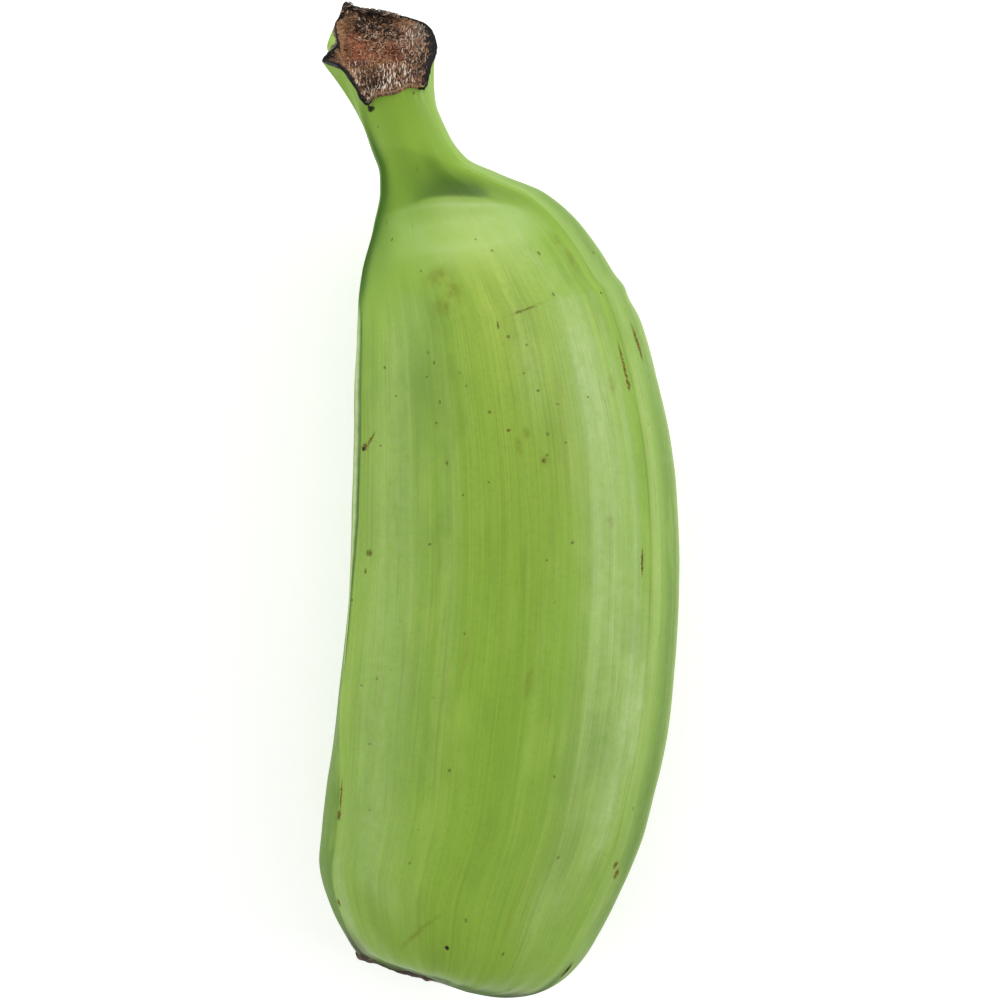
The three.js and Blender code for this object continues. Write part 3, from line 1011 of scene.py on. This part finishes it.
# Marks on the peel, as (spine place, place round, length, width in mm), with a turn in degrees
# after them where the mark does not lie along the fruit.
SPECKS = (
    (56.7, 0.17, 0.6, 0.5), (49.2, 0.33, 0.6, 0.5), (50.6, 0.63, 0.5, 0.5), (44.7, 0.85, 0.8, 0.7),
    (47.7, 0.67, 0.5, 0.5), (42.5, 1.43, 0.7, 0.6), (35.9, 0.99, 0.6, 0.6), (30.9, 0.12, 0.9, 0.7, 20),
    (24.1, 0.16, 0.6, 0.5), (17, 0.3, 0.6, 0.6), (21.2, 0.32, 1, 0.5), (8.4, 0.33, 1.6, 0.5),
    (29.6, 0.31, 0.8, 0.5), (27, 0.28, 0.6, 0.5), (23.6, 0.42, 0.6, 0.5), (31.6, 0.6, 0.9, 0.8),
    (29.4, 0.66, 0.6, 0.5), (20.5, 0.67, 0.6, 0.7), (24.2, 0.63, 0.5, 0.4), (17.7, 0.49, 0.8, 0.7),
    (13.7, 0.55, 0.9, 0.9), (12.2, 0.68, 0.8, 0.7), (10.3, 0.74, 0.6, 0.6), (7.2, 0.66, 1, 0.9, 10),
    (3.9, 0.47, 0.6, 0.5), (17.5, 0.73, 0.6, 0.5), (18.1, 0.84, 0.5, 0.5), (-10, 0.06, 1.8, 1.7),
    (-14, 0.05, 1.4, 0.7), (-20.4, 0.01, 0.8, 0.6), (-87.8, 0.49, 1, 0.9), (-81.9, 0.56, 0.9, 0.6),
    (35.8, 0.66, 0.7, 1.4), (75.7, 0.16, 0.4, 0.4), (79.3, 0.83, 0.7, 0.5), (36, 0.695, 0.25, 3.6, 6),
    (34.3, 0.57, 1.8, 0.5),
)
SCARS = (
    (23, 0.99, 9, 0.8), (19.6, 0.99, 3, 1), (26.5, 1.4, 7.5, 1.5, 4), (13.8, 0.04, 2, 1.8),
    (15.4, 0.062, 3.8, 0.6, -35), (-62.5, 0.015, 9, 0.5), (-66.6, 0.015, 2.4, 1.1),
    (-84.6, 0.01, 1.8, 0.9), (-67.9, 1.19, 1.7, 1.6), (-69.6, 1.3, 2.2, 2), (-88.2, 1.34, 3.6, 1.3, 12),
    (-12.3, 0.975, 6, 0.6),
)
BLACKENED = (
    (-87.8, 0.49, 0.6, 0.7), (13.4, 0.034, 1, 0.8), (78.7, 0.13, 1, 1.6), (79.2, 0.10, 0.7, 0.7),
    (-88.3, 1.35, 2.6, 0.8, 12),
)
SMUDGES = (
    (46, 0.95, 4, 2, 10), (42, 0.96, 6, 2.6), (44.3, 1.36, 5, 1.6), (46.8, 0.4, 5, 8),
    (43.4, 0.44, 8, 4), (40.6, 0.38, 5, 6), (10.3, 0.58, 4.5, 1.6, 10), (12.8, 0.61, 3, 1.8),
    (-35.1, 0.62, 8, 1.8, -8), (20, 0.93, 5, 2.4), (7.2, 0.66, 2.6, 2.4),
    (36, 0.695, 0.8, 9, 6), (-86, 0.36, 1.3, 14, 37), (-4.9, 0.87, 3, 2.4),
)


# A mark's half sizes as shares of its width and length, its depth in mm, and how far to either
# side the stretch of the straightened peel is measured there.
MARK_WIDTH = 0.65
MARK_LENGTH = 0.6
MARK_DEPTH = 3.0
MARK_STEP = 0.02


def marks(n, grain, places, solid):
    """One mask for a list of marks, set out on the straightened peel."""
    mask = 0.0
    for y, v, length, width, *turn in places:
        place = grain_place(y, v)
        radial = Vector((place[0], place[1], 0)).normalized()
        along = Vector((0, 0, 1))
        axes = Matrix((along.cross(radial), along, radial)).transposed()
        axes = axes @ Matrix.Rotation(radians(sum(turn)), 3, "Z")
        sides = np.array([v - MARK_STEP, v + MARK_STEP])
        stretch = norm(np.diff(grain_place(y, sides), axis=0))
        stretch /= norm(np.diff(skin_point(np.array([y, y]), sides), axis=0))
        size = (width * MARK_WIDTH * stretch, length * MARK_LENGTH, MARK_DEPTH)
        mask = n.math("MAXIMUM", mask, n.spot(grain, tuple(place), size, axes.to_euler(), solid))
    return mask


def peel_material():
    n = Nodes("green_peel")
    grain = n.attribute("grain", "Vector")
    ragged = n.wobbled(grain, 1.6, 0.7)

    n.colour = n.mix(n.noise(n.scaled(grain, (0.07, 0.07, 0.03))), (126, 163, 50), (138, 174, 57))
    # Deeper green skin and painted shade, then the darkest painted shade, in the neck's crease and
    # beside the neck.
    deep_and_shade = n.attribute("deep_green_and_shade")
    n.paint((64, 104, 12), n.spread(deep_and_shade, 0, 1))
    n.paint((30, 54, 6), n.spread(deep_and_shade, 0.9, 1.8))
    n.paint((178, 196, 88), n.attribute("yellowing"))
    # Pale wax bloom, partly a painted sheen.
    cloud = n.noise(grain, 0.35, 4)
    n.paint((192, 211, 154), n.attribute("bloom_and_sheen"), n.spread(cloud, 0.2, 0.8, 0.7, 1.3))

    # Streaks, threads and fibres along the fruit, mottling and wide clouds of colour.
    along = n.add("SeparateXYZ", {0: grain}).outputs[2]
    body = n.spread(along, 54, 40)
    banded = n.times(body, n.spread(along, -90, -40, 0.4, 1))
    bands = n.noise(n.scaled(grain, (0.55, 0.55, 0.012)))
    n.paint((176, 202, 104), n.spread(bands, 0.5, 0.7, 0, 0.16), banded)
    n.paint((96, 134, 34), n.spread(bands, 0.5, 0.3, 0, 0.14), banded)
    threads = n.noise(n.scaled(grain, (0.8, 0.8, 0.012)), detail=1.0)
    thread = n.spread(n.off(threads, 0.5), 0.035, 0)
    n.paint((122, 128, 42), thread, n.spread(along, 50, 30, 0, 0.27))
    fibres = n.noise(n.scaled(grain, (2.6, 2.6, 0.03)), detail=1.0)
    n.paint((92, 128, 30), n.spread(fibres, 0.42, 0.62, 0, 0.12), body)
    n.paint((96, 130, 42), n.spread(n.noise(grain, 1.1, 3), 0.45, 0.7, 0, 0.13), body)
    clouds = n.noise(n.scaled(grain, (0.16, 0.16, 0.06)), detail=3.0)
    n.paint((108, 142, 46), n.spread(clouds, 0.5, 0.7, 0, 0.3), body)
    n.paint((160, 190, 80), n.spread(clouds, 0.45, 0.3, 0, 0.2), body)

    # Smudges, browned skin, scattered dots, specks, scars and blackened spots.
    patchy = n.spread(n.noise(grain, 0.7, 4), 0.3, 0.65, 0.3, 1)
    n.paint((112, 122, 20), marks(n, ragged, SMUDGES, 0), patchy, 0.7)
    n.paint((46, 30, 20), n.attribute("browned"))
    cells = n.cells(ragged, 0.21)
    kept = n.spread(n.add("SeparateColor", {0: cells["Color"]}).outputs[0], 0.3, 0.9)
    n.paint((88, 84, 20), n.spread(cells["Distance"], 0.09, 0.05), kept, 0.75)
    speck = n.times(marks(n, ragged, SPECKS, 0.3), n.spread(n.noise(grain, 4, 3), 0.3, 0.5))
    n.paint((80, 56, 12), speck, 0.8)
    scar = n.times(marks(n, ragged, SCARS, 0.35), n.spread(n.noise(grain, 2.2, 3), 0.3, 0.5))
    scar_colour = n.mix(n.spread(n.noise(grain, 3), 0.35, 0.65), (132, 92, 30), (44, 26, 8))
    n.paint(scar_colour, scar, 0.9)
    black = marks(n, ragged, BLACKENED, 0.5)
    n.paint((14, 9, 6), black, 0.97)

    # The torn edge round the cut.
    uneven = n.spread(n.noise(grain, 0.5, 4), 0.2, 0.8, 0.9, -0.9)
    torn = n.math("ADD", n.attribute("rimward"), uneven)
    n.paint((116, 92, 46), n.spread(torn, 1.1, 0.6, 0, 0.8))
    rim_colour = n.mix(n.attribute("rim_black"), (112, 74, 38), (14, 11, 10))
    n.paint(rim_colour, n.spread(torn, 0.8, 0.3))

    normal = n.bump(n.times(bands, body), 0.000025)
    normal = n.bump(n.times(n.noise(grain, 3.2, 3), body), 0.000012, normal)
    normal = n.bump(scar, 0.00008, normal)
    rough = n.spread(n.noise(grain, 0.6, 4), 0.3, 0.7, 0.34, 0.44)
    rough = n.math("ADD", rough, n.spread(deep_and_shade, 0, 1, 0, 0.3))
    rough = n.math("ADD", rough, n.spread(deep_and_shade, 0.9, 1.6, 0, 0.3))
    marked = n.math("MAXIMUM", black, n.math("MAXIMUM", speck, scar))
    rough = n.math("ADD", rough, n.times(marked, 0.5), clamp=True)
    return n.coated(rough, 0.42, normal, refraction=1.45)


# Patches of colour on the cut, as (a, b, half width, half height, colour), and how far they
# reach to either side of its plane, in mm.
PATCH_DEPTH = 50.0
CUT_PATCHES = (
    (0.5, -8, 9.5, 5.6, (62, 38, 27)),
    (-8.2, 2, 2.4, 9, (140, 102, 70)),
    (-5, 0.8, 4, 6.6, (132, 72, 44)),
    (-5.5, 2.8, 2.6, 5.6, (148, 76, 52)),
    (1.4, 0.8, 5.4, 4, (156, 74, 34)),
    (-2, 7.4, 4.4, 4.6, (14, 10, 9)),
    (3.6, 6.4, 2.4, 4, (124, 80, 62)),
    (3.2, -0.8, 3.2, 2.8, (92, 32, 22)),
    (6.6, 5, 2.8, 5.5, (122, 112, 102)),
    (6.6, -3, 3.2, 4.6, (32, 28, 28)),
    (-5.2, -3.4, 2.4, 1.6, (52, 14, 24)),
    (0.4, -4.6, 2.2, 1.8, (86, 36, 24)),
    (-1.6, -8.8, 1.9, 2.2, (10, 7, 6)),
    (-10.8, -3.4, 3, 3.4, (58, 46, 36)),
    (-6.4, -8.4, 1.4, 5, (132, 96, 66)),
    (-1, -13, 7, 1.2, (92, 62, 42)),
)


def cut_material():
    n = Nodes("cut_end")
    place = n.attribute("cut_place", "Vector")
    torn = n.wobbled(place, 0.55, 2.2)
    grit = n.noise(place, 2.4, 3, 0.7)
    n.colour = n.mix(n.spread(grit, 0.3, 0.7), (90, 60, 40), (166, 124, 88))
    for a, b, wide, tall, patch in CUT_PATCHES:
        n.paint(patch, n.spot(torn, (a, b, 0), (wide, tall, PATCH_DEPTH), solid=0.5), 0.85)
    stains = n.noise(place, 0.6, 4, 0.6)
    n.paint((74, 36, 28), n.spread(stains, 0.52, 0.66, 0, 0.6))
    n.paint((196, 146, 104), n.spread(stains, 0.46, 0.34, 0, 0.45))
    n.paint((224, 176, 132), n.spread(grit, 0.54, 0.64, 0, 0.55))
    n.paint((36, 18, 12), n.spread(grit, 0.47, 0.36, 0, 0.75))

    # Fibres seen from the side, as dark and pale strokes, and from their ends, as curls.
    strokes = n.noise(n.scaled(n.wobbled(place, 0.4, 0.8), (3, 0.8, 1)), 1, 2, 0.6)
    stroked = n.attribute("stroked")
    n.paint((20, 13, 10), n.spread(strokes, 0.5, 0.4), stroked)
    n.paint((226, 206, 184), n.spread(strokes, 0.57, 0.66, 0, 0.8), stroked)
    off_ring = n.off(n.cells(n.wobbled(place, 1.2, 0.5), 0.85)["Distance"], 0.42)
    curled = n.attribute("curled")
    n.paint((26, 15, 11), curled, 0.6)
    n.paint((20, 14, 12), n.spread(off_ring, 0.1, 0.2, 0, 0.6), curled)
    n.paint((190, 146, 108), n.spread(off_ring, 0.1, 0.04, 0, 0.7), curled)

    # The black, dried edge under the rim.
    uneven = n.spread(n.noise(place, 0.8, 4), 0.3, 0.7, 0.5, -0.5)
    charring = n.math("ADD", n.attribute("charring"), uneven)
    flecks = n.spread(n.noise(place, 3.4, 2, 0.7), 0.62, 0.7)
    n.paint(n.mix(flecks, (13, 11, 11), (118, 108, 96)), n.spread(charring, 1.1, 0.6))
    return n.coated(0.75, 0.2, n.bump(strokes, 0.0004, n.bump(grit, 0.0003)))


def fibre_material():
    n = Nodes("cut_fibre")
    tone = n.attribute("tone")
    n.colour = n.mix(n.spread(tone, 0.1, 0.45), (16, 12, 10), (158, 100, 58))
    n.paint((240, 228, 208), n.spread(tone, 0.45, 0.95))
    place = n.add("TexCoord").outputs["Object"]
    n.paint((90, 60, 42), n.spread(n.noise(place, 2500), 0.3, 0.7, 0, 0.35))
    return n.coated(0.6, 0.3)


def crust_material():
    n = Nodes("dry_crust")
    place = n.add("TexCoord").outputs["Object"]
    grit = n.noise(place, 900, 4)
    n.colour = n.mix(n.spread(grit, 0.3, 0.7), (30, 26, 24), (84, 70, 58))
    n.paint((140, 118, 90), n.spread(n.noise(place, 420), 0.58, 0.75))
    return n.coated(0.7, 0.2, n.bump(grit, 0.0002))


# ---- stage, lights and camera
def make_camera():
    camera = bpy.data.cameras.new("camera")
    camera.sensor_width = SENSOR_WIDTH
    camera.lens = SENSOR_WIDTH * CAMERA_REACH / PICTURE_WIDTH
    camera.clip_start, camera.clip_end = 0.05, 10
    holder = in_scene("camera", camera)
    holder.location = (SHIFT[0] * MM, SHIFT[1] * MM, CAMERA_PLANE + CAMERA_REACH)
    SCENE.camera = holder


def softbox(name, azimuth, elevation, width, height, brightness):
    """A lamp facing the fruit, as bright as so many times white paper in the same light."""
    turn, rise = radians(azimuth), radians(elevation)
    away = Vector((cos(rise) * cos(turn), cos(rise) * sin(turn), sin(rise)))
    lamp = bpy.data.lights.new(name, "AREA")
    lamp.shape = "RECTANGLE"
    lamp.size, lamp.size_y = width, height
    lamp.energy = brightness * pi * width * height
    holder = in_scene(name, lamp)
    holder.location = away * LAMP_DISTANCE + Vector((0, 0, LAMP_AIM))
    holder.rotation_euler = away.to_track_quat("Z", "Y").to_euler()


def make_lights():
    softbox("left_softbox", 180, 26, 1.1, 0.28, 4.8)
    softbox("right_softbox", 10, 30, 1.1, 0.28, 6.8)
    softbox("stem_softbox", 98, 10, 0.8, 0.45, 4)
    world = bpy.data.worlds.new("studio")
    world.use_nodes = True
    background = world.node_tree.nodes["Background"]
    background.inputs["Color"].default_value = (1, 1, 1, 1)
    background.inputs["Strength"].default_value = WORLD_LIGHT
    SCENE.world = world


def make_floor():
    far = TABLE_REACH
    corners = [(-far, -far, 0), (far, -far, 0), (far, far, 0), (-far, far, 0)]
    floor = mesh_piece("table", corners, [(0, 1, 2, 3)])
    n = Nodes("pale_table")
    path = n.add("LightPath").outputs
    seen = n.math("MAXIMUM", path["Is Glossy Ray"], path["Is Transmission Ray"])
    seen = n.math("MAXIMUM", seen, path["Is Camera Ray"])
    diffuse = n.add("BsdfDiffuse", {"Color": (TABLE_GREY, TABLE_GREY, TABLE_GREY, 1)})
    glow = n.add("Emission", {"Color": (1, 1, 1, 1), "Strength": n.times(seen, TABLE_GLOW)})
    both = n.add("AddShader", {0: diffuse.outputs[0], 1: glow.outputs[0]})
    floor.data.materials.append(n.finish(both))


# ---- putting it together
SCENE.view_settings.view_transform = "Standard"
make_camera()
make_lights()
make_floor()

peel = make_peel()
peel.data.materials.append(peel_material())
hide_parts("plantain")
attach(peel, "root")

cut_face = make_cut_face()
cut_face.data.materials.append(cut_material())
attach(cut_face, "root")

cut_fibres = make_cut_fibres(cut_face)
cut_fibres.data.materials.append(fibre_material())
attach(cut_fibres, "root")

blossom_remains = make_blossom_remains(peel)
blossom_remains.data.materials.append(crust_material())
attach(blossom_remains, "root")
